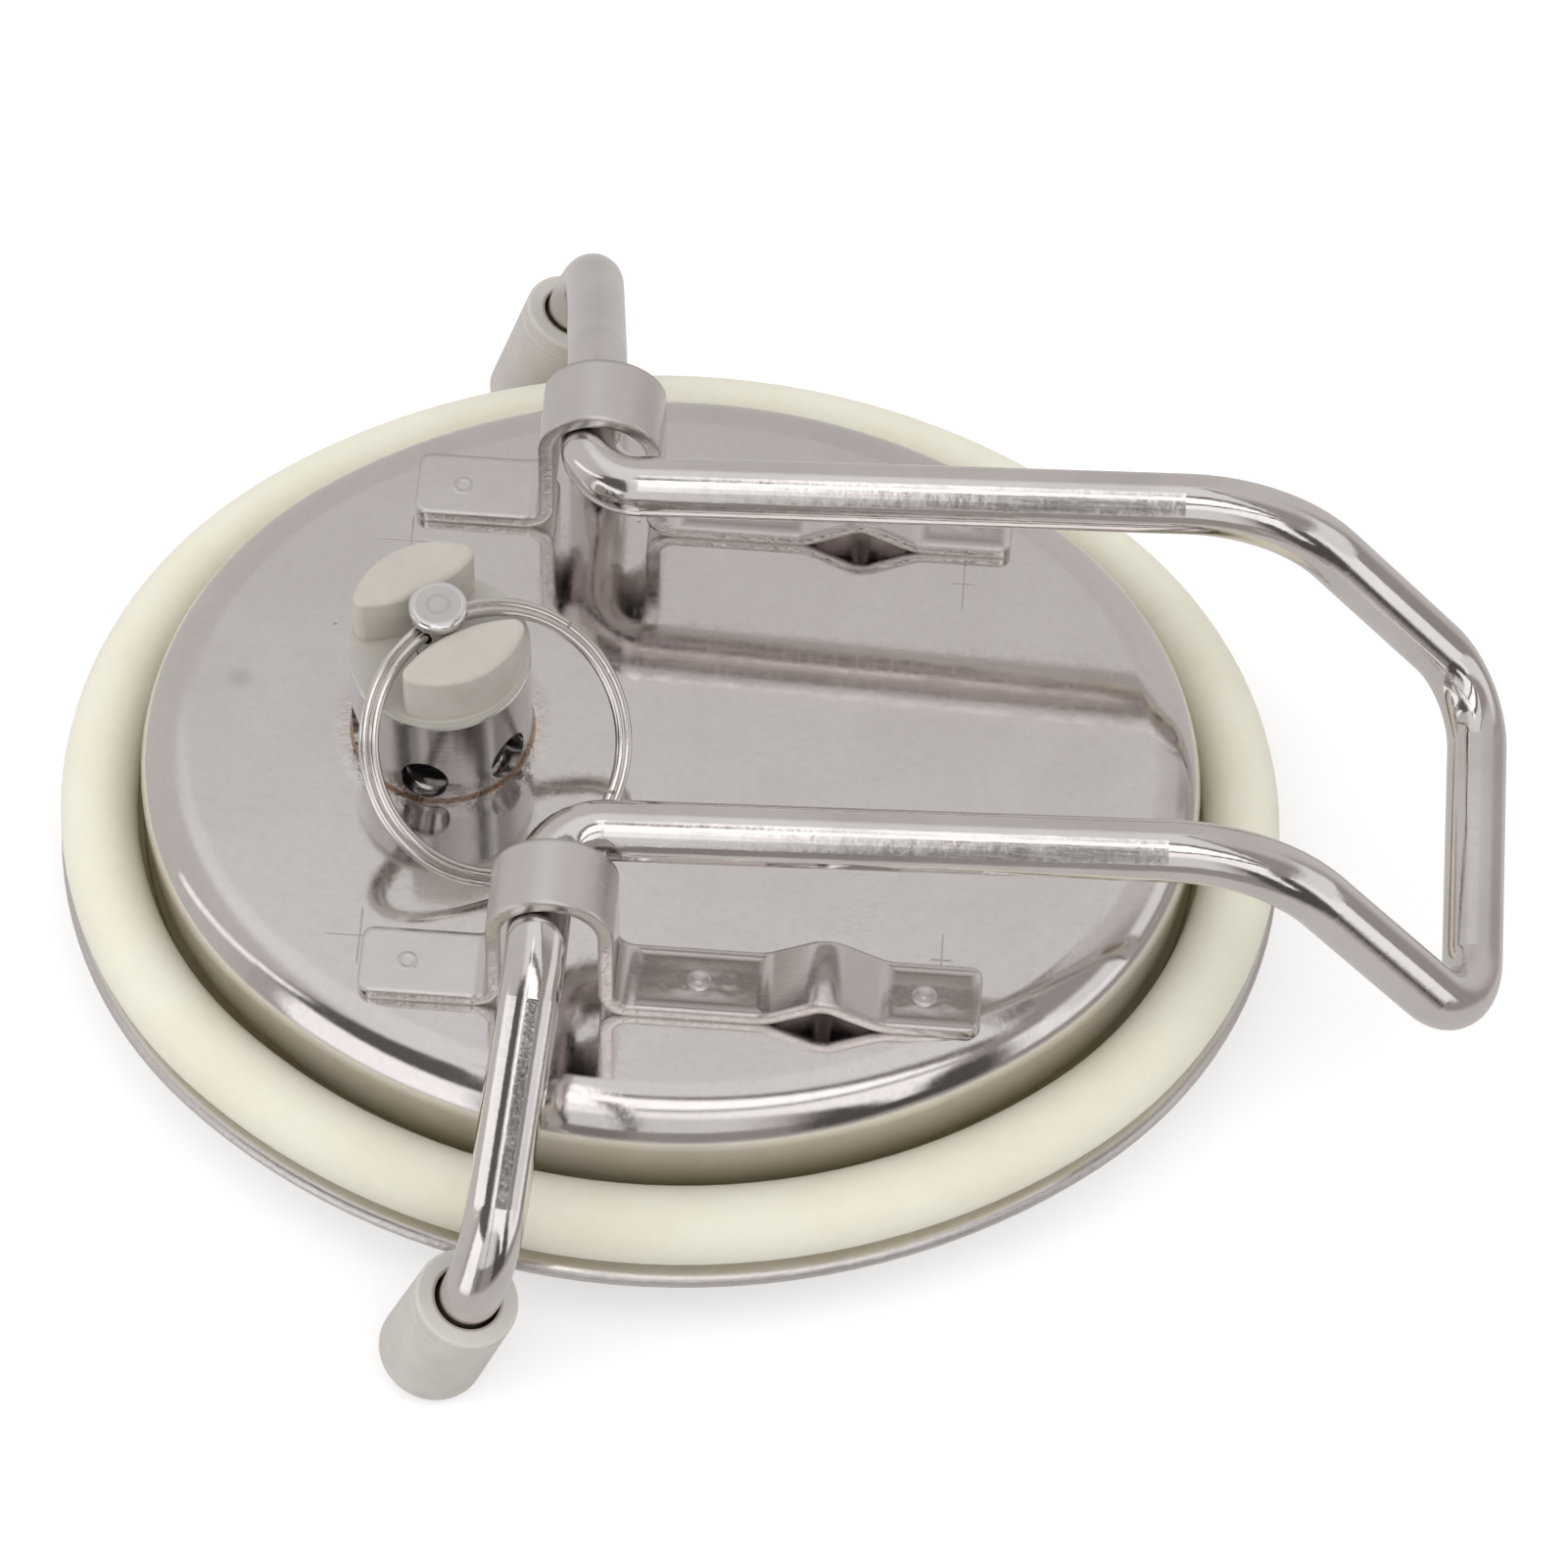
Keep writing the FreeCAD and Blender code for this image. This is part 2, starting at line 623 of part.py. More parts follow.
def make_bung(doc, s):
    """The steel bung: an open cup through the panel with a raised seat and sloping vents."""
    body = new_body(doc, "valve_bung")
    profile = new_sketch(body, "XZ_Plane", "BungProfile")
    seat_outside = s.inlet_radius + s.seat_width
    outline(profile, (
        (s.inlet_radius, s.bung_bottom),
        (s.spigot_radius, s.bung_bottom),
        (s.spigot_radius, s.panel),
        (s.bung_radius, s.panel),
        (s.bung_radius, s.bung_top - s.bung_edge),
        (s.bung_radius - s.bung_edge, s.bung_top),
        (s.bore_radius, s.bung_top),
        (s.bore_radius, s.floor_top),
        (seat_outside, s.floor_top),
        (seat_outside, s.seat_top),
        (s.inlet_radius, s.seat_top),
    ))
    revolve(body, profile)
    doc.recompute()
    solid = body.Shape.Volume
    slope = math.radians(s.vent_slope.value)
    along = FreeCAD.Vector(math.cos(slope), math.sin(slope), 0)
    across = FreeCAD.Vector(-along.y, along.x, 0)
    mouth = vector(s.bung_radius, s.panel + s.vent_rise, 0)
    inner = mouth - along * (s.bung_wall.value * 1.9)
    outer = mouth + along * (s.vent_diameter.value * 1.2)
    radius = s.vent_diameter.value / 2
    drill = new_sketch(body, "XZ_Plane", "VentHalf")
    corners = (inner, outer, outer + across * radius, inner + across * radius)
    for index in range(4):
        drill.addGeometry(Part.LineSegment(corners[index], corners[(index + 1) % 4]), False)
    for index in range(4):
        drill.addConstraint(Sketcher.Constraint("Coincident", index, 2, (index + 1) % 4, 1))
    drill.addGeometry(Part.LineSegment(inner, outer), True)
    drill.addConstraint(Sketcher.Constraint("Block", 0))
    drill.addConstraint(Sketcher.Constraint("Block", 2))
    vent = body.newObject("PartDesign::Groove", "Vent")
    vent.Profile = drill
    vent.ReferenceAxis = (drill, ["Axis0"])
    vent.Angle = 360.0
    doc.recompute()
    if not body.Shape.Volume < solid:
        raise RuntimeError("valve_bung: the vent cuts nothing")
    ring = body.newObject("PartDesign::PolarPattern", "Vents")
    ring.Originals = [vent]
    ring.Axis = (origin_item(body, "Z_Axis"), [""])
    ring.Angle = 360.0
    ring.Occurrences = int(s.vent_count.value)
    body.Tip = ring
    return at_valve(s, body, s.vent_turn)


def make_plug(doc, s):
    """The plastic plug: a hollow screw with a flange and two finger lugs beside a slot."""
    body = new_body(doc, "valve_plug")
    profile = new_sketch(body, "XZ_Plane", "PlugProfile")
    screw = s.bore_radius - s.thread_clearance
    skirt_end = s.bung_top - s.plug_skirt
    bore = s.stem_radius + s.stem_clearance
    outline(profile, (
        (s.pocket_radius, skirt_end),
        (screw, skirt_end),
        (screw, s.bung_top),
        (s.bung_radius, s.bung_top),
        (s.bung_radius, s.plug_top),
        (bore, s.plug_top),
        (bore, s.pocket_top),
        (s.pocket_radius, s.pocket_top),
    ))
    revolve(body, profile)
    doc.recompute()
    lug_sketch = new_sketch(body, "XY_Plane", "LugOutline", s.plug_top)
    inner_centre = s.slot_width / 2 + s.lug_bow
    outside = (s.bung_radius - s.lug_inset).value
    bow = s.lug_bow.value
    gap = inner_centre.value
    meet_y = (gap * gap + outside * outside - bow * bow) / (2 * gap)
    meet_x = math.sqrt(outside * outside - meet_y * meet_y)
    rim = Part.Circle(FreeCAD.Vector(0, 0, 0), FreeCAD.Vector(0, 0, 1), outside)
    inside = Part.Circle(FreeCAD.Vector(0, gap, 0), FreeCAD.Vector(0, 0, 1), bow)
    rim_turn = math.atan2(meet_y, meet_x)
    bow_turn = math.atan2(meet_y - gap, meet_x)
    lug_sketch.addGeometry(Part.ArcOfCircle(rim, rim_turn, math.pi - rim_turn), False)
    lug_sketch.addGeometry(Part.ArcOfCircle(inside, -math.pi - bow_turn, bow_turn), False)
    lug_sketch.addConstraint(Sketcher.Constraint("Coincident", 0, 2, 1, 1))
    lug_sketch.addConstraint(Sketcher.Constraint("Coincident", 1, 2, 0, 1))
    lug_sketch.addConstraint(Sketcher.Constraint("Coincident", 0, 3, -1, 1))
    place_point(lug_sketch, 1, 3, 0, inner_centre)
    limit(lug_sketch, "Radius", (0,), s.bung_radius - s.lug_inset)
    limit(lug_sketch, "Radius", (1,), s.lug_bow)
    lug = pad(body, lug_sketch, s.lug_rise, "Lug")
    doc.recompute()
    pair = body.newObject("PartDesign::PolarPattern", "Lugs")
    pair.Originals = [lug]
    pair.Axis = (origin_item(body, "Z_Axis"), [""])
    pair.Angle = 360.0
    pair.Occurrences = 2
    body.Tip = pair

    def at_tip(edge):
        box = edge.BoundBox
        upright = box.XLength < 1e-4 and box.YLength < 1e-4
        return upright and box.ZMin > s.plug_top.value - 1e-4

    tips = round_edges(body, pair, s.lug_tip_round, at_tip, "LugTips")
    round_edges(body, tips, s.lug_round, edge_at_level(s.plug_top + s.lug_rise), "LugEdges")
    return at_valve(s, body, s.slot_turn)


def make_stem(doc, s):
    """The stem: a rod with a button, a cross hole for the ring and a riveted lower end."""
    body = new_body(doc, "valve_stem")
    profile = new_sketch(body, "XZ_Plane", "StemProfile")
    rivet_end = s.poppet_bottom + s.seal_recess
    outline(profile, (
        (0, rivet_end),
        (s.rivet_radius, rivet_end),
        (s.rivet_radius, s.poppet_top),
        (s.stem_radius, s.poppet_top),
        (s.stem_radius, s.button_bottom),
        (s.button_radius, s.button_bottom),
        (s.button_radius, s.button_bottom + s.button_depth),
        (0, s.button_bottom + s.button_depth),
    ))
    turned = revolve(body, profile)

    def at_button(edge):
        low = edge_at_level(s.button_bottom)(edge)
        high = edge_at_level(s.button_bottom + s.button_depth)(edge)
        return (low or high) and edge.BoundBox.XMax > s.stem_radius.value + 0.1

    button = round_edges(body, turned, s.button_round, at_button, "ButtonEdge")
    hole = new_sketch(body, "YZ_Plane", "RingHole", -s.button_radius)
    circle(hole, 0, s.ring_hole_level, s.ring_hole_radius)
    pocket(body, hole, 2 * s.button_radius, True, "CrossHole")
    return at_valve(s, body, s.ring_turn)


def make_poppet(doc, s):
    """The poppet: a shallow cup on the stem that holds the seal disc."""
    body = new_body(doc, "valve_poppet")
    profile = new_sketch(body, "XZ_Plane", "PoppetProfile")
    bore = s.rivet_radius + s.rivet_clearance
    cup = s.seal_radius + s.poppet_wall
    recess_top = s.poppet_bottom + s.seal_recess
    outline(profile, (
        (s.seal_radius, s.poppet_bottom),
        (cup, s.poppet_bottom),
        (cup, s.poppet_top),
        (bore, s.poppet_top),
        (bore, recess_top),
        (s.seal_radius, recess_top),
    ))
    revolve(body, profile)
    return at_valve(s, body, s.ring_turn)


def make_seal(doc, s):
    """The seal disc, between the poppet and the seat of the bung."""
    disc = doc.addObject("Part::Cylinder", "poppet_seal")
    disc.Label = "poppet_seal"
    bind(disc, "Radius", s.seal_radius)
    bind(disc, "Height", s.seal_depth)
    disc.Placement = FreeCAD.Placement(vector(-s.valve_setback, 0, s.seat_top), FreeCAD.Rotation())
    bind(disc, "Placement.Base.x", -s.valve_setback)
    bind(disc, "Placement.Base.z", s.seat_top)
    return disc


def make_spring(doc, s):
    """The spring between the poppet and the ceiling of the plug's pocket."""
    wire = s.spring_wire.value
    coil = (s.pocket_radius - s.spring_play).value - wire / 2
    low = s.poppet_top.value + wire / 2
    rise = (s.pocket_top - s.poppet_top).value - wire
    helix = Part.makeHelix(rise / s.spring_turns.value, rise, coil)
    section = Part.Circle(FreeCAD.Vector(coil, 0, 0), FreeCAD.Vector(0, 1, 0), wire / 2)
    coils = Part.Wire(helix).makePipeShell([Part.Wire(section.toShape())], True, True)
    spring = doc.addObject("Part::Feature", "valve_spring")
    spring.Label = "valve_spring"
    spring.Shape = coils
    spring.Placement = FreeCAD.Placement(vector(-s.valve_setback, 0, low), FreeCAD.Rotation())
    return spring


def ring_lean(s):
    """The slope in degrees at which the tip of the hanging ring just clears the panel."""
    radius = s.ring_wire.value / 2
    drop = (s.ring_hole_level - s.panel - s.ring_rest_gap).value - radius
    across = s.ring_pitch.value / 2
    middle = s.ring_radius.value - radius - s.ring_step.value / 2
    reach = middle + s.ring_radius.value - radius
    return math.degrees(math.asin((drop - across) / reach))


def make_pull_ring(doc, s):
    """The split ring: two turns of wire side by side, with a gap at each wire end."""
    radius = s.ring_wire.value / 2
    outer = s.ring_radius.value - radius
    inner = outer - s.ring_step.value
    pitch = s.ring_pitch.value / 2
    axis = FreeCAD.Vector(0, 0, 1)
    turns = [
        Part.makeTorus(outer, radius, FreeCAD.Vector(0, 0, -pitch), axis),
        Part.makeTorus(inner, radius, FreeCAD.Vector(0, 0, pitch), axis),
    ]
    notch = s.ring_notch.value
    height = 2 * (pitch + radius)
    outside = Part.makeBox(notch, 2 * radius, height)
    outside.translate(FreeCAD.Vector(-notch / 2, (outer + inner) / 2 + radius * 0.35, -height / 2))
    inside = Part.makeBox(notch, 2 * radius, height)
    inside.translate(FreeCAD.Vector(-notch / 2, (outer + inner) / 2 - radius * 2.35, -height / 2))
    outside.rotate(FreeCAD.Vector(0, 0, 0), axis, -s.ring_end_turn.value)
    inside.rotate(FreeCAD.Vector(0, 0, 0), axis, -(s.ring_end_turn + s.ring_end_lap).value)
    ring = turns[0].fuse(turns[1]).cut(outside).cut(inside)
    middle = (outer + inner) / 2
    hang = FreeCAD.Placement(FreeCAD.Vector(0, -middle, 0), FreeCAD.Rotation())
    lean_rotation = FreeCAD.Rotation(FreeCAD.Vector(1, 0, 0), ring_lean(s))
    lean = FreeCAD.Placement(FreeCAD.Vector(0, 0, 0), lean_rotation)
    turn = FreeCAD.Rotation(FreeCAD.Vector(0, 0, 1), s.ring_turn.value)
    seat = FreeCAD.Placement(vector(-s.valve_setback, 0, s.ring_hole_level), turn)
    piece = doc.addObject("Part::Feature", "pull_ring")
    piece.Label = "pull_ring"
    piece.Shape = ring.Solids[0]
    piece.Placement = seat.multiply(lean).multiply(hang)
    return piece


def check(doc, pieces):
    """Stop if anything in the document failed or a piece has no sound solid."""
    for thing in doc.Objects:
        if "Invalid" in thing.State or "Error" in thing.State:
            raise RuntimeError(thing.Name + " failed: " + ", ".join(thing.State))
    for piece in pieces:
        shape = piece.Shape
        if shape.isNull() or not shape.isValid() or not shape.Solids:
            raise RuntimeError(piece.Label + " has no sound solid")


def build():
    doc = FreeCAD.newDocument("keg_lid")
    s = derive(write_sheet(doc))
    doc.recompute()
    pieces = [make_lid_shell(doc, s), make_gasket(doc, s)]
    for name, side in (("near", -1), ("far", 1)):
        pieces.append(make_bracket(doc, s, "bracket_" + name, side))
        pieces.append(make_foot(doc, s, "foot_" + name, side))
    pieces.append(make_bail(doc, s))
    makers = (make_bung, make_plug, make_stem, make_poppet, make_seal, make_spring, make_pull_ring)
    for maker in makers:
        pieces.append(maker(doc, s))
    doc.recompute()
    check(doc, pieces)
    os.makedirs("parts", exist_ok=True)
    for piece in pieces:
        piece.Shape.exportStep("parts/" + piece.Label + ".step")
        box = piece.Shape.BoundBox
        print("%-14s volume %9.2f  x %7.2f %7.2f  y %7.2f %7.2f  z %7.2f %7.2f" % (
            piece.Label, piece.Shape.Volume, box.XMin, box.XMax, box.YMin, box.YMax,
            box.ZMin, box.ZMax))


build()
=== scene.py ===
import math

import bpy
from mathutils import Matrix, Vector


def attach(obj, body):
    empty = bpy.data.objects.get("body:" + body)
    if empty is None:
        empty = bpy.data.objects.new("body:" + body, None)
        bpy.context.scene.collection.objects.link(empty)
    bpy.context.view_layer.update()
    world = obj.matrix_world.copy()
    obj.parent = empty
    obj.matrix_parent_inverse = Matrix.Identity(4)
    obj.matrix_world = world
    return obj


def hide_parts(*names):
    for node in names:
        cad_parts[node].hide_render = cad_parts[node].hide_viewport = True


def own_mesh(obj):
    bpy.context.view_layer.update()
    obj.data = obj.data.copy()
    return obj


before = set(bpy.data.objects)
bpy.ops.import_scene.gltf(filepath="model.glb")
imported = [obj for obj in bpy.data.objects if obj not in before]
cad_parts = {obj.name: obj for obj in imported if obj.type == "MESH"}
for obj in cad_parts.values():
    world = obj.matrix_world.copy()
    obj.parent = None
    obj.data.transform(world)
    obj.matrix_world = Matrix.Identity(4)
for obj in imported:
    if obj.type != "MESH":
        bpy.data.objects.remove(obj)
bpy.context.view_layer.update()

MM = 0.001

# Places on the part, in millimetres. Both sides are alike, so a place to the side is a distance
# from the middle
VALVE = (-20.4, 0.0)
PANEL_TOP = 6.6
FLANGE_TOP = -6.9
TAB_TOP = 7.9
STRAP_SIDE = 25.6
STRAP_HALF = 3.3
STRAP_DISHES = ((-1.4, 10.6), (20.4, 29.05))
STRAP_MARK_X = -21.0
NUB_X = (4.45, 24.1)
NUB_PROFILE = ((1.12, -0.05), (1.08, 0.06), (0.98, 0.16), (0.84, 0.19), (0.7, 0.15), (0.6, 0.05),
               (0.5, 0.03), (0.4, 0.09), (0.28, 0.16), (0.12, 0.19), (0.02, 0.195))
GRIP_X = (66.0, 72.0)
LEG_SIDE = (29.5, 33.0)
FOOT_TOP = (-13.285, 53.27, -1.6)
FOOT_AXIS = (-0.28604, -0.09535, -0.95346)
FOOT_SEAM = 1.75
FOOT_BORE = (3.05, 3.3)
FOOT_BORE_MIDDLE = 5.0
FOOT_BORE_HALF = 4.9
PLUG_RIM = 18.6
BRAZE_RADIUS = 8.1
HALO_RADII = (8.2, 10.0)
BUNG_OUTSIDE = (7.6, 7.9)
BUTTON_FACE = (25.0, 25.3)
BUTTON_RIM_RADIUS = 2.35
BUTTON_DIMPLE = 0.95
FLOOR = -15.35

# Marks on the crown: crosses as x, y and half the arm along x, then a swirl and a smudge
CROSSES = ((-25.2, 20.0, 2.6), (-25.5, -22.5, 2.6), (25.35, -21.0, 0.5), (25.0, 19.3, 0.8))
CROSS_ARM = 2.4
CROSS_HALF = 0.03
SWIRL = (18.1, -14.1)
SWIRL_STEP = 0.62
SWIRL_REACH = 11.0
SMUDGE = (-38.98, 3.71)

# Colours. The pairs are the lighter and darker patches of one surface
PANEL_COLORS = ((0.73, 0.695, 0.685), (0.66, 0.625, 0.615))
STRAP_COLORS = ((0.74, 0.705, 0.695), (0.66, 0.625, 0.615))
TURNED_COLORS = ((0.72, 0.7, 0.69), (0.62, 0.6, 0.59))
CORD_COLORS = ((0.83, 0.785, 0.64), (0.77, 0.72, 0.57))
FOOT_COLORS = ((0.6, 0.565, 0.53), (0.54, 0.505, 0.465))
PLUG_COLORS = ((0.575, 0.54, 0.485), (0.51, 0.475, 0.42))
SEAL_COLORS = ((0.03, 0.03, 0.03), (0.055, 0.052, 0.05))
BAIL_COLOR = (0.76, 0.725, 0.71)
RING_COLOR = (0.76, 0.725, 0.7)
WIRE_SHADE = 0.86
PANEL_HEATED = (0.55, 0.5, 0.46)
PANEL_SCRIBED = (0.34, 0.3, 0.29)
PANEL_PITTED = (0.25, 0.22, 0.2)
PANEL_SMUDGED = (0.36, 0.37, 0.41)
PANEL_BRAZED = (0.36, 0.23, 0.15)
PANEL_MOTTLED = (0.56, 0.52, 0.5)
# Painted shade on the strap's cut faces
STRAP_CUT_PAINTED_SHADE = (0.62, 0.585, 0.56)
STRAP_MARKED = (0.5, 0.47, 0.46)
STRAP_DISHED = (0.37, 0.325, 0.305)
STRAP_DENTED = (0.62, 0.58, 0.56)
# Painted shade under the arch of the strap's tunnel
STRAP_PAINTED_SHADE_INSIDE = (0.3, 0.265, 0.25)
CORD_SPECK = (0.36, 0.3, 0.2)
CORD_BLOOM = (0.9, 0.86, 0.73)
# Painted highlight on the upper rim of a foot
FOOT_RIM_PAINTED_HIGHLIGHT = (0.7, 0.67, 0.63)
# Painted highlight on the mould seam of a foot
FOOT_SEAM_PAINTED_HIGHLIGHT = (0.74, 0.71, 0.67)
FOOT_SPECK = (0.3, 0.27, 0.23)
# Painted shade inside the bore of a foot
FOOT_BORE_PAINTED_SHADE = (0.3, 0.25, 0.2)
# Painted shade on the plug's upward faces
PLUG_TOP_PAINTED_SHADE = (0.48, 0.445, 0.4)
# Painted highlight along the plug's rim
PLUG_RIM_PAINTED_HIGHLIGHT = (0.7, 0.68, 0.63)
# Painted shade in the corner above the plug's rim
PLUG_CORNER_PAINTED_SHADE = (0.33, 0.3, 0.26)
PLUG_SPECK = (0.33, 0.24, 0.14)
BUNG_FOOT = (0.45, 0.31, 0.21)
# Painted dark reflection on the front of the bung
BUNG_PAINTED_REFLECTION = (0.26, 0.245, 0.24)
BUTTON_CENTER = (0.5, 0.47, 0.46)
BUTTON_RIM = (0.82, 0.81, 0.8)
FLOOR_COLOR = (0.74, 0.735, 0.73)
FLOOR_GLOW = 0.4
WHITE = (1.0, 1.0, 1.0)

# The camera of the photograph, in metres, and its focal length in pixels of a frame 1601 wide
CAMERA_PLACE = (0.026167, -0.358362, 0.542135)
CAMERA_RIGHT = (0.99736335, 0.0704998, 0.01720811)
CAMERA_UP = (-0.06825883, 0.83085359, 0.55228891)
FOCAL = 7394.83
FRAME = 1601
SENSOR = 36.0

# Lamps: azimuth and elevation in degrees, then distance, width, height in metres and power
LAMPS = (("lamp_top", -8, 76, 1.3, 1.5, 0.75, 2.5),
         ("lamp_right", 80, 42, 1.5, 1.0, 0.8, 2.2),
         ("lamp_left", -75, 30, 1.5, 1.0, 0.8, 3.5))

# The brightness that matt faces get from all round, and what polished metal sees there. The walls
# are stops: a share of the way round from the back by -X, the camera and +X, and the brightness.
# The cards are azimuth, half width, elevation, half height and brightness. The rest is laid out in
# sky_seen
MATT_LEVEL = 0.86
WALLS = ((0.0, 0.58), (0.28, 0.6), (0.33, 0.45), (0.42, 0.36), (0.5, 0.36), (0.6, 0.31),
         (0.68, 0.34), (0.78, 0.35), (0.82, 0.36), (0.86, 0.55), (0.89, 0.62), (1.0, 0.58))
CARDS = ((38, 13, 0, 19, 0.1), (-45, 15, 46, 14, 0.2), (-10, 4, 5, 30, 0.25),
         (-43, 14, 0, 26, 1.25), (72, 13, 4, 16, 1.05))
GROUND = 0.62
FAR_CEILING = 0.8
CEILING = 0.86
CORNER = (0.36, 0.62)
CORNER_EDGE = 0.22
LEFT_GAP = 0.13
RIGHT_GAP = 0.22
FRONT_GAP = 0.22
BOX = (1.5, 1.2)
BOX_SLOT = 0.2
BOX_BAR = 0.05
STRIP = 1.5
SLANT = 1.2
DIM_TINT = (1.0, 0.9, 0.83)
LIGHT_TINT = (1.0, 0.985, 0.98)


class Graph:
    """A node tree, and short ways to join its nodes."""

    def __init__(self, tree):
        self.tree = tree

    def split(self, vector):
        node = self.tree.nodes.new("ShaderNodeSeparateXYZ")
        self.tree.links.new(vector, node.inputs[0])
        return node.outputs

    def put(self, socket, value):
        if isinstance(value, (int, float, tuple)):
            socket.default_value = value
        else:
            self.tree.links.new(value, socket)

    def math(self, operation, *values):
        node = self.tree.nodes.new("ShaderNodeMath")
        node.operation = operation
        for socket, value in zip(node.inputs, values):
            self.put(socket, value)
        return node.outputs[0]

    def add(self, *values):
        total = values[0]
        for value in values[1:]:
            total = self.math("ADD", total, value)
        return total

    def less(self, first, second):
        return self.math("SUBTRACT", first, second)

    def times(self, *values):
        product = values[0]
        for value in values[1:]:
            product = self.math("MULTIPLY", product, value)
        return product

    def least(self, first, second):
        return self.math("MINIMUM", first, second)

    def most(self, first, second):
        return self.math("MAXIMUM", first, second)

    def ramp(self, value, low, high, start=0.0, end=1.0, smooth=True):
        """From start to end, as a value goes from low to high."""
        node = self.tree.nodes.new("ShaderNodeMapRange")
        node.interpolation_type = "SMOOTHSTEP" if smooth else "LINEAR"
        for socket, item in zip(node.inputs, (value, low, high, start, end)):
            self.put(socket, item)
        return node.outputs[0]

    def line(self, value, middle, half, soft=0.05):
        """One where a value is within half of the middle, and none past soft more."""
        away = self.math("ABSOLUTE", self.less(value, middle))
        return self.ramp(away, half, half + soft, 1.0, 0.0)

    def mix(self, share, first, second):
        """One colour turning into another."""
        node = self.tree.nodes.new("ShaderNodeMix")
        node.data_type = "RGBA"
        self.put(node.inputs["Factor"], share)
        for socket, value in zip((node.inputs[6], node.inputs[7]), (first, second)):
            self.put(socket, (*value, 1.0) if isinstance(value, tuple) else value)
        return node.outputs[2]

    def blend(self, share, first, second):
        """One value turning into another."""
        node = self.tree.nodes.new("ShaderNodeMix")
        for socket, value in zip(node.inputs[:1] + node.inputs[2:4], (share, first, second)):
            self.put(socket, value)
        return node.outputs[0]

    def length(self, *parts):
        """The length of a vector from its parts."""
        return self.math("SQRT", self.add(*[self.times(part, part) for part in parts]))

    def levels(self, value, stops):
        """A smooth curve through stops of a place from 0 to 1 and its level."""
        node = self.tree.nodes.new("ShaderNodeFloatCurve")
        curve = node.mapping.curves[0]
        for number, (place, level) in enumerate(stops):
            if number < 2:
                curve.points[number].location = (place, level)
            else:
                curve.points.new(place, level)
        node.mapping.update()
        self.put(node.inputs["Value"], value)
        return node.outputs[0]


class Finish(Graph):
    """A material, with the place on the object in millimetres and the way that a face looks."""

    SOCKETS = {"color": "Base Color", "rough": "Roughness", "metal": "Metallic",
               "specular": "Specular IOR Level", "under": "Subsurface Weight",
               "under_scale": "Subsurface Scale"}

    def __init__(self, name):
        self.material = bpy.data.materials.new(name)
        self.material.use_nodes = True
        super().__init__(self.material.node_tree)
        self.shader = self.tree.nodes["Principled BSDF"]
        place = self.tree.nodes.new("ShaderNodeTexCoord")
        scale = self.tree.nodes.new("ShaderNodeVectorMath")
        scale.operation = "SCALE"
        self.tree.links.new(place.outputs["Object"], scale.inputs[0])
        scale.inputs["Scale"].default_value = 1 / MM
        self.place = scale.outputs[0]
        self.x, self.y, self.z = self.split(self.place)
        self.side = self.math("ABSOLUTE", self.y)
        facing = self.tree.nodes.new("ShaderNodeNewGeometry")
        self.facing = self.split(facing.outputs["Normal"])

    def noise(self, scale, detail=3.0, rough=0.5, stretch=None, shift=0.0):
        node = self.tree.nodes.new("ShaderNodeTexNoise")
        node.inputs["Scale"].default_value = scale
        node.inputs["Detail"].default_value = detail
        node.inputs["Roughness"].default_value = rough
        place = self.place
        if stretch or shift:
            warp = self.tree.nodes.new("ShaderNodeMapping")
            warp.inputs["Scale"].default_value = stretch or (1, 1, 1)
            warp.inputs["Location"].default_value = (shift, shift * 0.7, shift * 0.3)
            self.tree.links.new(place, warp.inputs[0])
            place = warp.outputs[0]
        self.tree.links.new(place, node.inputs["Vector"])
        return node.outputs["Fac"]

    def patches(self, scale, detail, rough, low, high):
        """Soft blots, none where the noise is low and one where it is high."""
        return self.ramp(self.noise(scale, detail, rough), low, high)

    def grainy(self, scale, low, high):
        """A value that wanders between two levels over a fine grain."""
        return self.ramp(self.noise(scale, 3), 0.3, 0.7, low, high)

    def specks(self, scale, size, share):
        """Small round dots in a share of the cells of a random pattern."""
        cells = self.tree.nodes.new("ShaderNodeTexVoronoi")
        cells.inputs["Scale"].default_value = scale
        self.tree.links.new(self.place, cells.inputs["Vector"])
        chance = self.tree.nodes.new("ShaderNodeSeparateColor")
        self.tree.links.new(cells.outputs["Color"], chance.inputs[0])
        dot = self.ramp(cells.outputs["Distance"], size * 0.5, size, 1.0, 0.0)
        return self.times(dot, self.math("LESS_THAN", chance.outputs[0], share))

    def reach(self, x, y):
        """Distance in plan from a point."""
        return self.length(self.less(self.x, x), self.less(self.y, y))

    def soften(self, radius):
        """Round the sharp edges for the light, by a radius in millimetres."""
        node = self.tree.nodes.new("ShaderNodeBevel")
        node.samples = 6
        node.inputs["Radius"].default_value = radius * MM
        self.tree.links.new(node.outputs[0], self.shader.inputs["Normal"])

    def bump(self, height, depth):
        """Raise the surface by a height between 0 and 1 times a depth in millimetres."""
        node = self.tree.nodes.new("ShaderNodeBump")
        node.inputs["Strength"].default_value = 1.0
        node.inputs["Distance"].default_value = depth * MM
        self.put(node.inputs["Height"], height)
        if self.shader.inputs["Normal"].is_linked:
            before = self.shader.inputs["Normal"].links[0].from_socket
            self.tree.links.new(before, node.inputs["Normal"])
        self.tree.links.new(node.outputs[0], self.shader.inputs["Normal"])

    def sink(self, mask, depth):
        """Press the surface in where the mask is one, by a depth in millimetres."""
        self.bump(self.less(1.0, mask), depth)

    def set(self, **values):
        for key, value in values.items():
            if isinstance(value, tuple):
                value = (*value, 1.0)
            self.put(self.shader.inputs[self.SOCKETS[key]], value)


def steel_color(g, light, dark, share):
    return g.mix(g.times(g.patches(0.09, 4, 0.6, 0.35, 0.7), share), light, dark)


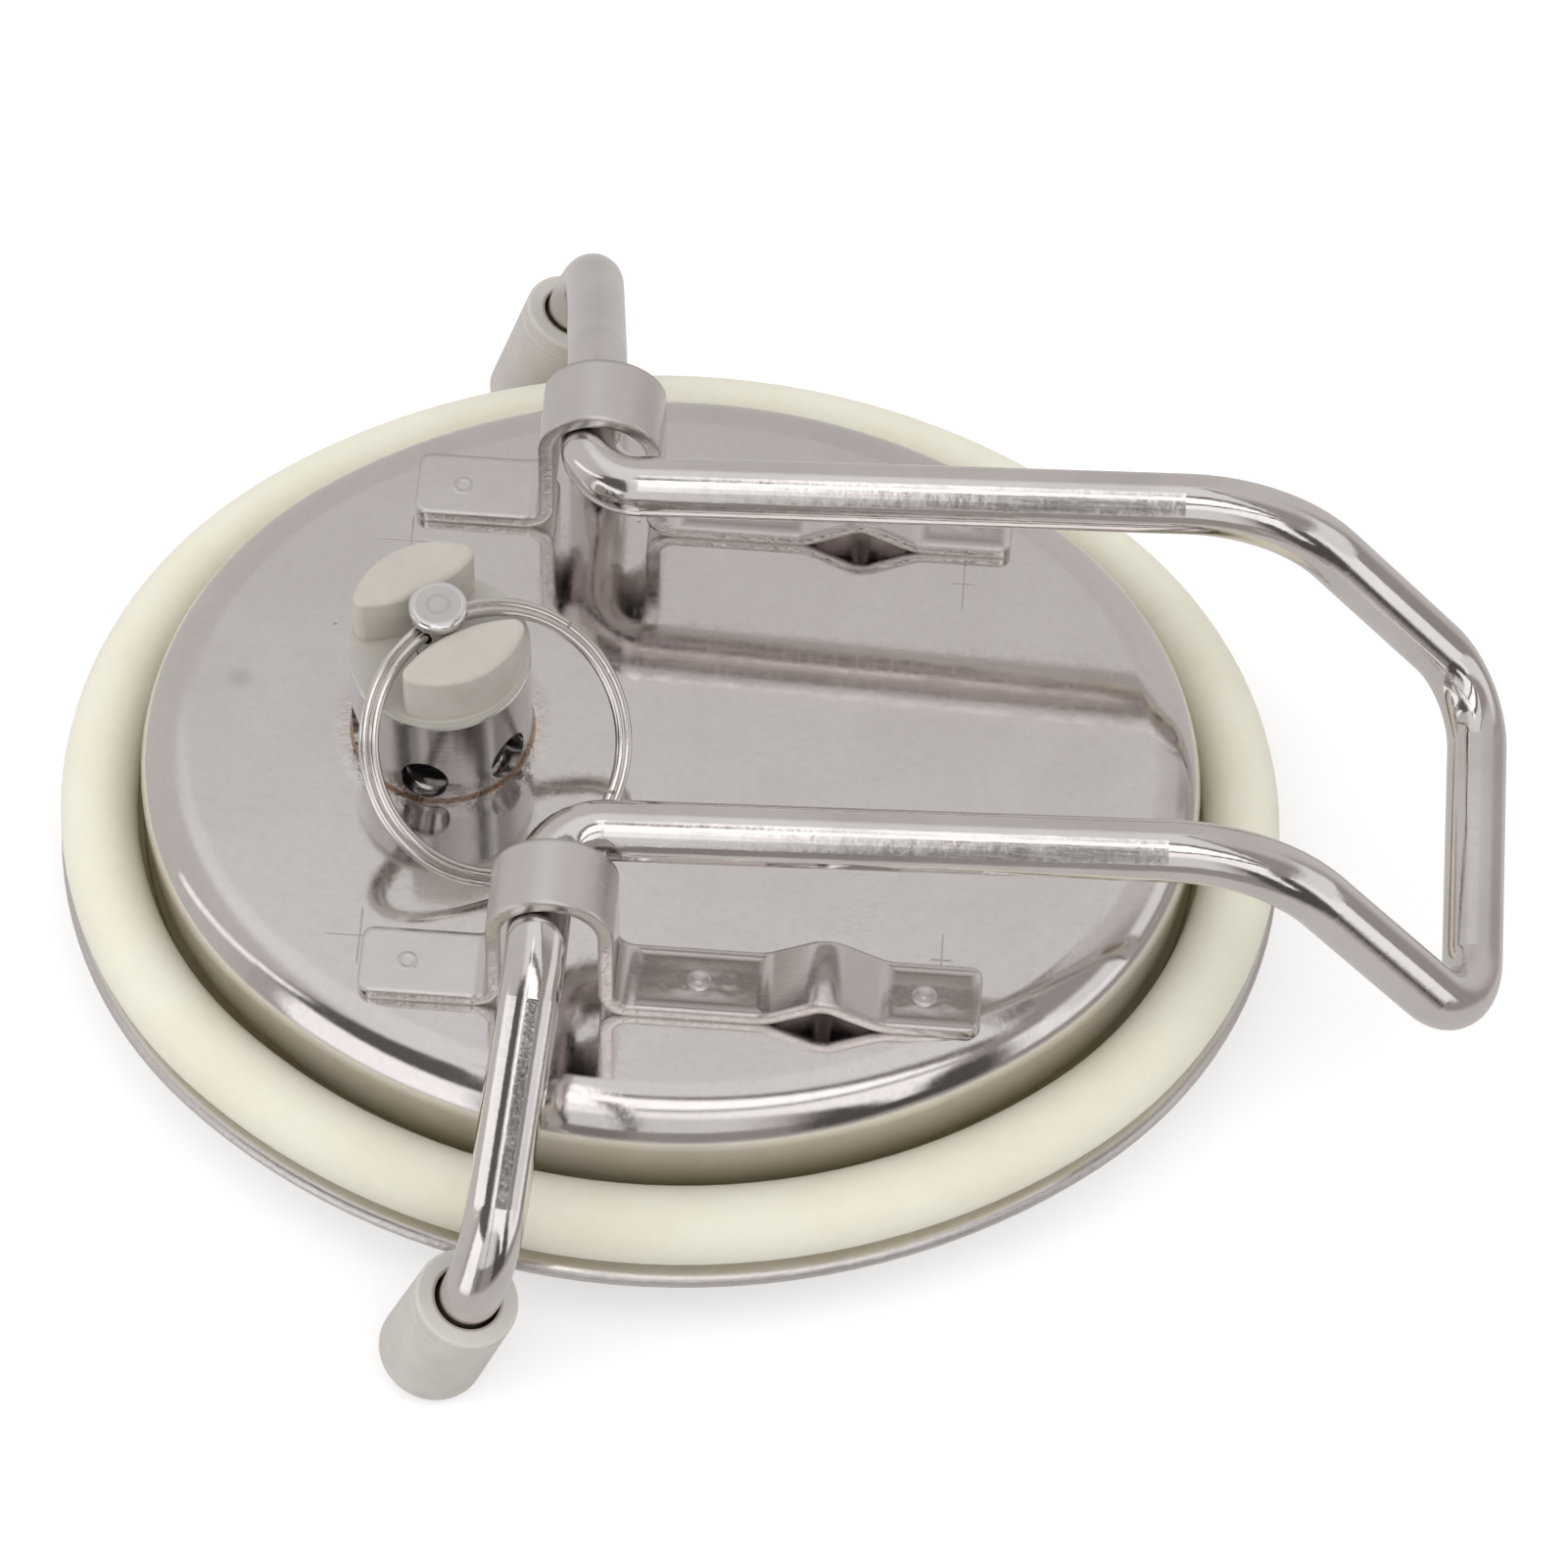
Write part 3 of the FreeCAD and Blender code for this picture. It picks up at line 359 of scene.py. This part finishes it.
def panel_steel():
    g = Finish("panel_steel")
    top = g.ramp(g.z, PANEL_TOP - 0.4, PANEL_TOP - 0.1)
    panel = g.times(g.ramp(g.facing[2], 0.985, 0.9985), top)
    near_valve = g.reach(*VALVE)
    braze = g.times(g.line(near_valve, BRAZE_RADIUS, 0.1, 0.16), top)
    halo = g.times(g.ramp(near_valve, *HALO_RADII, 1.0, 0.0), top)
    marks = 0.0
    for x, y, arm in CROSSES:
        across = g.times(g.line(g.y, y, CROSS_HALF, 0.08), g.line(g.x, x, arm, 0.8))
        along = g.times(g.line(g.x, x, CROSS_HALF, 0.08), g.line(g.y, y, CROSS_ARM, 0.8))
        marks = g.most(g.most(across, along), marks)
    marks = g.times(marks, top)
    pits = g.times(g.specks(0.16, 0.04, 0.25), panel)
    swirl = g.reach(*SWIRL)
    circles = g.math("SINE", g.times(swirl, 2 * math.pi / SWIRL_STEP))
    circles = g.times(circles, g.times(g.ramp(swirl, 2.0, SWIRL_REACH, 1.0, 0.0), panel))
    smudge = g.times(g.ramp(g.reach(*SMUDGE), 0.3, 1.7, 1.0, 0.0), panel)
    color = steel_color(g, *PANEL_COLORS, 0.5)
    color = g.mix(g.times(halo, 0.2), color, PANEL_HEATED)
    color = g.mix(g.times(marks, 0.5), color, PANEL_SCRIBED)
    color = g.mix(g.times(pits, 0.5), color, PANEL_PITTED)
    color = g.mix(g.times(smudge, 0.32), color, PANEL_SMUDGED)
    color = g.mix(g.times(braze, 0.85), color, PANEL_BRAZED)
    underside = g.times(g.ramp(g.facing[2], -0.6, -0.9), 0.1)
    scratches = g.noise(2.2, 2, 0.5, (0.06, 1.0, 1.0), 3.0)
    scratches = g.most(scratches, g.noise(2.6, 2, 0.5, (1.0, 0.08, 1.0), 9.0))
    sheared = g.times(g.ramp(g.z, FLANGE_TOP + 0.3, FLANGE_TOP), g.ramp(g.facing[2], 0.9, 0.7))
    mottle = g.ramp(g.noise(1.1, 4, 0.75, None, 21.0), 0.42, 0.72)
    color = g.mix(g.times(mottle, 0.16), color, PANEL_MOTTLED)
    rough = g.add(underside, g.ramp(scratches, 0.45, 0.8, 0.07, 0.13), g.times(halo, 0.05),
                  g.times(sheared, 0.3), g.times(mottle, 0.05), g.times(smudge, 0.1))
    g.set(color=color, metal=1.0, rough=rough)
    g.soften(0.7)
    g.bump(g.noise(0.35, 2, 0.5), 0.006)
    g.bump(g.times(g.noise(1.3, 2, 0.6, None, 15.0), sheared), 0.12)
    g.bump(g.noise(1.7, 2, 0.6, None, 11.0), 0.0022)
    g.bump(scratches, 0.0006)
    g.bump(circles, 0.0005)
    g.sink(g.most(marks, pits), 0.015)
    g.bump(g.times(g.noise(0.8, 3, 0.6, None, 5.0), halo), 0.1)
    return g.material


def cord_rubber():
    g = Finish("cord_rubber")
    color = g.mix(g.patches(0.07, 4, 0.6, 0.3, 0.75), *CORD_COLORS)
    color = g.mix(g.times(g.specks(0.22, 0.06, 0.12), 0.7), color, CORD_SPECK)
    color = g.mix(g.times(g.patches(1.6, 4, 0.65, 0.5, 0.8), 0.18), color, CORD_BLOOM)
    g.set(color=color, rough=g.grainy(3.0, 0.42, 0.56), specular=0.35, under=1.0, under_scale=0.01)
    g.shader.inputs["Subsurface Radius"].default_value = (1.0, 1.0, 0.97)
    g.bump(g.noise(4.0, 4, 0.6), 0.012)
    g.bump(g.noise(0.25, 2), 0.03)
    return g.material


def strap_steel():
    g = Finish("strap_steel")
    cut = g.ramp(g.math("ABSOLUTE", g.facing[1]), 0.6, 0.85)
    high = g.ramp(g.z, 16.0, 20.0)
    tab = g.ramp(g.z, TAB_TOP - 0.3, TAB_TOP - 0.1)
    from_middle = g.less(g.side, STRAP_SIDE)
    nub = 9.0
    for x in NUB_X:
        nub = g.least(nub, g.length(g.less(g.x, x), from_middle))
    from_mark = g.length(g.less(g.x, STRAP_MARK_X), from_middle)
    mark = g.times(g.line(from_mark, 0.72, 0.1, 0.16), tab)
    rim = g.less(STRAP_HALF, g.math("ABSOLUTE", from_middle))
    dished = 0.0
    for low_end, high_end in STRAP_DISHES:
        inner = g.least(g.less(g.x, low_end), g.less(high_end, g.x))
        dished = g.most(dished, g.ramp(g.least(inner, rim), 0.25, 1.15))
    dished = g.times(dished, tab)
    dented = g.times(g.ramp(nub, 0.9, 5.2, 1.0, 0.2), dished, g.line(from_middle, 0.0, 0.9, 1.2))
    # Downward faces high in the tunnel's arch are darkened: painted shade under the arch
    inside = g.times(g.ramp(g.facing[2], -0.1, -0.5), g.ramp(g.z, 8.4, 9.2))
    color = steel_color(g, *STRAP_COLORS, 0.6)
    # Cut faces, picked by their facing, are darkened: painted shade on the sheared edges
    color = g.mix(g.times(cut, 0.8), color, STRAP_CUT_PAINTED_SHADE)
    color = g.mix(g.times(mark, 0.3), color, STRAP_MARKED)
    color = g.mix(g.times(dished, 0.8), color, STRAP_DISHED)
    color = g.mix(g.times(dented, 0.55), color, STRAP_DENTED)
    color = g.mix(g.times(inside, 0.75), color, STRAP_PAINTED_SHADE_INSIDE)
    grain = g.noise(5.0, 3, 0.6, (0.12, 1.0, 0.12))
    rough = g.add(g.ramp(grain, 0.3, 0.7, 0.12, 0.18), g.times(high, 0.15), g.times(cut, -0.04),
                  g.times(dished, 0.1))
    g.set(color=color, metal=1.0, rough=rough)
    g.soften(0.62)
    g.bump(grain, 0.002)
    g.sink(dished, 0.13)
    g.bump(g.times(g.noise(0.75, 1, 0.4, None, 2.0), dented), 0.16)
    g.bump(g.noise(0.45, 2), 0.012)
    g.bump(mark, 0.03)
    g.bump(g.times(g.noise(1.6, 2, 0.6, None, 6.0), cut), 0.02)
    return g.material


def wire_steel(name, bright, rough_low, rough_high, wave):
    """Drawn wire, with grain along the arms, the grip and the legs of the bail."""
    g = Finish(name)
    color = steel_color(g, bright, tuple(WIRE_SHADE * part for part in bright), 0.7)
    blotch = g.noise(0.5, 4, 0.65, None, 4.0)
    arms = g.noise(3.2, 4, 0.7, (0.035, 1.0, 1.0))
    grip = g.noise(3.2, 4, 0.7, (1.0, 0.035, 1.0), 2.0)
    legs = g.noise(3.2, 4, 0.7, (1.0, 1.0, 0.035), 5.0)
    grain = g.blend(g.ramp(g.x, *GRIP_X), arms, grip)
    grain = g.blend(g.ramp(g.side, *LEG_SIDE), grain, legs)
    rough = g.add(g.ramp(grain, 0.35, 0.7, rough_low, rough_high),
                  g.ramp(blotch, 0.5, 0.8, 0.0, 0.07))
    g.set(color=color, metal=1.0, rough=rough)
    g.bump(grain, wave)
    g.bump(g.noise(0.8, 2, 0.5, None, 7.0), wave * 1.6)
    return g.material


def foot_rubber():
    """Rubber whose marks, a painted highlight on its rim and seam and painted shade in its bore follow the
    depth below a foot's upper end and the radius about its axis.
    """
    g = Finish("foot_plastic")
    parts = [g.less(place, start) for place, start in zip((g.x, g.side, g.z), FOOT_TOP)]
    depth = g.add(*[g.times(part, way) for part, way in zip(parts, FOOT_AXIS)])
    square = g.add(*[g.times(part, part) for part in parts])
    radius = g.math("SQRT", g.most(g.less(square, g.times(depth, depth)), 0.0))
    seam = g.line(depth, FOOT_SEAM, 0.06, 0.1)
    # The bore round the wire is darkened: painted shade in the recess
    bore = g.times(g.ramp(radius, *FOOT_BORE, 1.0, 0.0),
                   g.line(depth, FOOT_BORE_MIDDLE, FOOT_BORE_HALF, 0.35))
    color = g.mix(g.patches(0.3, 4, 0.6, 0.3, 0.75), *FOOT_COLORS)
    # The upper end of a foot is made lighter: a painted highlight on its rim
    color = g.mix(g.times(g.ramp(depth, 0.0, 0.5, 1.0, 0.0), 0.35), color, FOOT_RIM_PAINTED_HIGHLIGHT)
    # The seam is a real ridge, bumped below, and its lighter colour is a painted highlight
    color = g.mix(g.times(seam, 0.55), color, FOOT_SEAM_PAINTED_HIGHLIGHT)
    color = g.mix(g.times(g.specks(0.4, 0.08, 0.1), 0.5), color, FOOT_SPECK)
    color = g.mix(bore, color, FOOT_BORE_PAINTED_SHADE)
    g.set(color=color, rough=g.grainy(3.0, 0.4, 0.55), specular=0.35)
    g.bump(seam, 0.05)
    g.bump(g.noise(3.5, 4, 0.6), 0.015)
    return g.material


def plug_plastic():
    g = Finish("plug_plastic")
    color = g.mix(g.patches(0.3, 4, 0.6, 0.3, 0.75), *PLUG_COLORS)
    # Upward faces are darkened: painted shade on the plug's top
    color = g.mix(g.times(g.ramp(g.facing[2], 0.6, 0.95), 0.5), color, PLUG_TOP_PAINTED_SHADE)
    # A lighter band at the rim: a painted highlight on its edge
    color = g.mix(g.times(g.line(g.z, PLUG_RIM, 0.25, 0.2), 0.25), color, PLUG_RIM_PAINTED_HIGHLIGHT)
    # A darker band just above the rim: painted shade in the corner
    corner = g.times(g.ramp(g.z, PLUG_RIM + 0.15, PLUG_RIM + 1.2, 1.0, 0.0),
                     g.ramp(g.z, PLUG_RIM, PLUG_RIM + 0.3))
    color = g.mix(g.times(corner, 0.25), color, PLUG_CORNER_PAINTED_SHADE)
    color = g.mix(g.times(g.specks(0.5, 0.07, 0.12), 0.6), color, PLUG_SPECK)
    g.set(color=color, rough=g.grainy(2.0, 0.34, 0.5), specular=0.4)
    g.bump(g.noise(2.5, 4, 0.6), 0.02)
    return g.material


def turned_steel(name, rough_low, rough_high):
    """Steel with fine rings about the valve's axis, a stained foot, a painted dark reflection on the bung's
    front, and a button's face.
    """
    g = Finish(name)
    reach = g.reach(*VALVE)
    rings = g.tree.nodes.new("ShaderNodeTexNoise")
    rings.noise_dimensions = "2D"
    rings.inputs["Scale"].default_value = 5.0
    rings.inputs["Detail"].default_value = 3.0
    joined = g.tree.nodes.new("ShaderNodeCombineXYZ")
    g.put(joined.inputs[0], reach)
    g.put(joined.inputs[1], g.z)
    g.tree.links.new(joined.outputs[0], rings.inputs["Vector"])
    rings = rings.outputs["Fac"]
    outside = g.ramp(reach, *BUNG_OUTSIDE)
    foot = g.times(g.ramp(g.z, PANEL_TOP, PANEL_TOP + 0.5, 1.0, 0.0), outside)
    # A darker sector on the bung's front: a painted dark reflection
    front = g.times(g.ramp(g.y, -5.0, -6.5), outside)
    painted_reflection = g.times(g.line(g.less(g.x, VALVE[0]), 1.2, 2.6, 2.2), front)
    face = g.ramp(g.z, *BUTTON_FACE)
    bright = g.times(g.line(reach, BUTTON_RIM_RADIUS, 0.3, 0.1), face)
    center = g.times(g.line(reach, BUTTON_DIMPLE, 0.1, 0.12), face)
    satin = g.times(g.ramp(reach, 2.0, 2.2, 1.0, 0.0), face)
    color = steel_color(g, *TURNED_COLORS, 0.6)
    color = g.mix(g.times(foot, 0.6), color, BUNG_FOOT)
    color = g.mix(g.times(painted_reflection, 0.9), color, BUNG_PAINTED_REFLECTION)
    color = g.mix(g.times(center, 0.4), color, BUTTON_CENTER)
    color = g.mix(bright, color, BUTTON_RIM)
    rough = g.add(g.ramp(rings, 0.3, 0.7, rough_low, rough_high), g.times(satin, 0.16))
    g.set(color=color, metal=1.0, rough=rough)
    g.bump(rings, 0.004)
    g.bump(g.noise(0.7, 3), 0.01)
    return g.material


def seal_rubber():
    g = Finish("seal_rubber")
    color = g.mix(g.patches(1.2, 4, 0.5, 0.35, 0.7), *SEAL_COLORS)
    g.set(color=color, rough=g.grainy(3.0, 0.5, 0.68), specular=0.4)
    g.bump(g.noise(4.0, 3), 0.01)
    return g.material


def wear(material, *nodes):
    """Give a material to nodes of the CAD model."""
    for name in nodes:
        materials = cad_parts[name].data.materials
        materials.clear()
        materials.append(material)


rod = wire_steel("bail_steel", BAIL_COLOR, 0.06, 0.12, 0.006)
thin = wire_steel("ring_steel", RING_COLOR, 0.12, 0.2, 0.002)
strap = strap_steel()
wear(panel_steel(), "lid_shell")
wear(cord_rubber(), "lid_gasket")
wear(strap, "bracket_near", "bracket_far")
wear(rod, "bail_wire")
wear(foot_rubber(), "foot_near", "foot_far")
wear(turned_steel("bung_steel", 0.13, 0.2), "valve_bung")
wear(plug_plastic(), "valve_plug")
wear(turned_steel("stem_steel", 0.12, 0.2), "valve_stem", "valve_poppet")
wear(seal_rubber(), "poppet_seal")
wear(thin, "valve_spring", "pull_ring")


def show(name, data):
    """Put an object with this data into the scene."""
    item = bpy.data.objects.new(name, data)
    bpy.context.collection.objects.link(item)
    return item


def turned_mesh(name, profile, steps=32):
    """A mesh turned about its own Z axis from a profile of radius and height in millimetres."""
    points = []
    faces = []
    for radius, height in profile:
        for step in range(steps):
            turn = 2 * math.pi * step / steps
            points.append((radius * math.cos(turn) * MM, radius * math.sin(turn) * MM, height * MM))
    for row in range(len(profile) - 1):
        for step in range(steps):
            after = (step + 1) % steps
            faces.append((row * steps + step, row * steps + after,
                          (row + 1) * steps + after, (row + 1) * steps + step))
    faces.append(tuple(range((len(profile) - 1) * steps, len(profile) * steps)))
    mesh = bpy.data.meshes.new(name)
    mesh.from_pydata(points, [], faces)
    for face in mesh.polygons:
        face.use_smooth = True
    return mesh


nub_mesh = turned_mesh("weld_nub", NUB_PROFILE)
nub_mesh.materials.append(strap)
for side, label in ((-1, "near"), (1, "far")):
    for number, x in enumerate(NUB_X, start=1):
        nub = show("weld_nub_%s_%d" % (label, number), nub_mesh)
        nub.location = (x * MM, side * STRAP_SIDE * MM, TAB_TOP * MM)
        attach(nub, "lid")

# The spring as an object of its own on the lid, with its own copy of the mesh, in place of the CAD spring
coil = show("spring_coil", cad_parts["valve_spring"].data.copy())
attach(coil, "lid")
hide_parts("valve_spring")
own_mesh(coil)

camera_data = bpy.data.cameras.new("camera")
camera_data.sensor_width = SENSOR
camera_data.lens = FOCAL / FRAME * SENSOR
camera_data.clip_start = 0.01
camera = show("camera", camera_data)
right = Vector(CAMERA_RIGHT)
up = Vector(CAMERA_UP)
turn = Matrix((right, up, right.cross(up))).transposed().to_4x4()
camera.matrix_world = Matrix.Translation(Vector(CAMERA_PLACE)) @ turn
bpy.context.scene.camera = camera


def floor_material():
    """A pale floor that the camera sees a little lighter than its light makes it."""
    g = Finish("floor_white")
    path = g.tree.nodes.new("ShaderNodeLightPath")
    glow = g.tree.nodes.new("ShaderNodeEmission")
    glow.inputs["Color"].default_value = (*WHITE, 1.0)
    g.put(glow.inputs["Strength"], g.times(path.outputs["Is Camera Ray"], FLOOR_GLOW))
    g.set(color=FLOOR_COLOR, rough=1.0, specular=0.0)
    both = g.tree.nodes.new("ShaderNodeAddShader")
    g.tree.links.new(g.shader.outputs[0], both.inputs[0])
    g.tree.links.new(glow.outputs[0], both.inputs[1])
    g.tree.links.new(both.outputs[0], g.tree.nodes["Material Output"].inputs["Surface"])
    return g.material


def flat_card(name, half, height, material):
    """A level square about the origin, with its half side and its height in metres."""
    corners = [(-half, -half, height), (half, -half, height), (half, half, height), (-half, half, height)]
    mesh = bpy.data.meshes.new(name)
    mesh.from_pydata(corners, [], [(0, 1, 2, 3)])
    mesh.materials.append(material)
    card = show(name, mesh)
    return card


floor = flat_card("floor", 3, FLOOR * MM, floor_material())
floor.visible_glossy = False


def toward(azimuth, elevation):
    """A direction: azimuth 0 is the camera's side, and 90 is +X."""
    a, e = math.radians(azimuth), math.radians(elevation)
    return Vector((math.sin(a) * math.cos(e), -math.cos(a) * math.cos(e), math.sin(e)))


def lamp(name, azimuth, elevation, distance, width, height, power):
    data = bpy.data.lights.new(name, "AREA")
    data.shape = "RECTANGLE"
    data.size = width
    data.size_y = height
    data.energy = power
    item = show(name, data)
    way = toward(azimuth, elevation)
    item.location = way * distance
    item.rotation_euler = way.to_track_quat("Z", "Y").to_euler()
    item.visible_camera = False
    item.visible_glossy = False


for values in LAMPS:
    lamp(*values)


def walls_seen(g, azimuth, elevation):
    """The brightness of the walls, with a few cards, down to the ground."""
    level = g.levels(g.add(g.times(azimuth, 1 / 360), 0.5), WALLS)
    for middle, half, height, half_height, brightness in CARDS:
        card = g.times(g.line(azimuth, middle, half, 5.0), g.line(elevation, height, half_height, 4.0))
        level = g.blend(card, level, brightness)
    return g.blend(g.ramp(elevation, -22.0, -32.0), level, GROUND)


def sky_seen(g, level, x, y, z, azimuth, elevation):
    """The same with what hangs above, each over what was there, laid out by the direction's x and y."""
    above = g.math("GREATER_THAN", z, 0.0)

    def paint(brightness, *masks):
        return g.blend(g.times(g.times(*masks), above), level, brightness)

    # The ceiling, and a dimmer corner of it beyond the far end, with a dark edge
    level = paint(FAR_CEILING, g.ramp(y, 0.63, 0.49), g.line(x, -0.05, 0.22, 0.3))
    level = paint(CEILING, g.ramp(y, 0.52, 0.35), g.ramp(y, -0.42, -0.32), g.ramp(x, -0.65, -0.4))
    across = g.add(g.times(x, 0.78), g.times(y, 0.62))
    beyond = g.times(g.ramp(y, 0.75, 0.4), g.ramp(x, 0.05, 0.25))
    level = paint(g.ramp(y, 0.0, 0.3, *CORNER), g.ramp(across, 0.31, 0.34), beyond,
                  g.ramp(elevation, 20.0, 30.0))
    level = paint(CORNER_EDGE, g.line(across, 0.345, 0.015, 0.02), g.line(x, 0.3, 0.2, 0.05))
    # Dark gaps at the left, at the right and between the ceiling and the box
    level = paint(LEFT_GAP, g.line(x, -0.6, 0.25, 0.03), g.ramp(y, -0.26, -0.33),
                  g.ramp(elevation, 22.0, 26.0))
    level = paint(RIGHT_GAP, g.ramp(x, 0.63, 0.68), g.ramp(y, -0.2, -0.3), g.ramp(elevation, 38.0, 45.0))
    slope = g.add(y, g.times(g.most(x, 0.0), 0.41))
    inside = g.times(g.ramp(x, -0.24, -0.21), g.ramp(x, 0.68, 0.62))
    level = paint(FRONT_GAP, g.line(slope, -0.13, 0.06, 0.02), inside)
    # The large soft box over the camera's side, with a narrow slot and a bar
    level = paint(g.ramp(y, -0.56, -0.64, *BOX), g.ramp(slope, -0.19, -0.21), g.ramp(y, -0.84, -0.79), inside)
    level = paint(BOX_SLOT, g.line(g.add(x, g.times(y, 0.07)), -0.125, 0.016, 0.008),
                  g.ramp(y, -0.39, -0.43))
    bar = g.less(y, g.add(g.times(g.times(x, x), 0.2), -0.595))
    level = paint(BOX_BAR, g.line(bar, 0.0, 0.024, 0.01), g.line(x, 0.3, 0.33, 0.03))
    # A narrow bright strip over the middle, and a slanted one at the left
    level = paint(STRIP, g.line(g.add(x, g.times(y, 0.055)), -0.115, 0.025, 0.01),
                  g.line(y, -0.1, 0.2, 0.02))
    rising = g.less(elevation, g.add(g.times(azimuth, 1.1), 104.0))
    return paint(SLANT, g.line(rising, 0.0, 5.0, 2.0), g.line(azimuth, -77.0, 14.0, 2.0))


def studio():
    """White for the camera and even light for matt faces. Metal sees a studio in azimuth from
    the camera's side and elevation, in degrees: grey walls and soft boxes with dim gaps."""
    world = bpy.data.worlds.new("studio")
    bpy.context.scene.world = world
    world.use_nodes = True
    g = Graph(world.node_tree)
    background = g.tree.nodes["Background"]
    way = g.tree.nodes.new("ShaderNodeTexCoord")
    x, y, z = g.split(way.outputs["Generated"])
    azimuth = g.times(g.math("ARCTAN2", x, g.times(y, -1.0)), 180 / math.pi)
    elevation = g.times(g.math("ARCSINE", z), 180 / math.pi)
    level = sky_seen(g, walls_seen(g, azimuth, elevation), x, y, z, azimuth, elevation)
    tint = g.mix(g.ramp(level, 0.1, 0.8, 0.0, 1.0, False), DIM_TINT, LIGHT_TINT)
    path = g.tree.nodes.new("ShaderNodeLightPath")
    g.put(background.inputs["Color"], g.mix(path.outputs["Is Glossy Ray"], WHITE, tint))
    strength = g.blend(path.outputs["Is Glossy Ray"], MATT_LEVEL, level)
    g.put(background.inputs["Strength"], g.blend(path.outputs["Is Camera Ray"], strength, 1.0))


studio()

bpy.context.scene.view_settings.view_transform = "Standard"
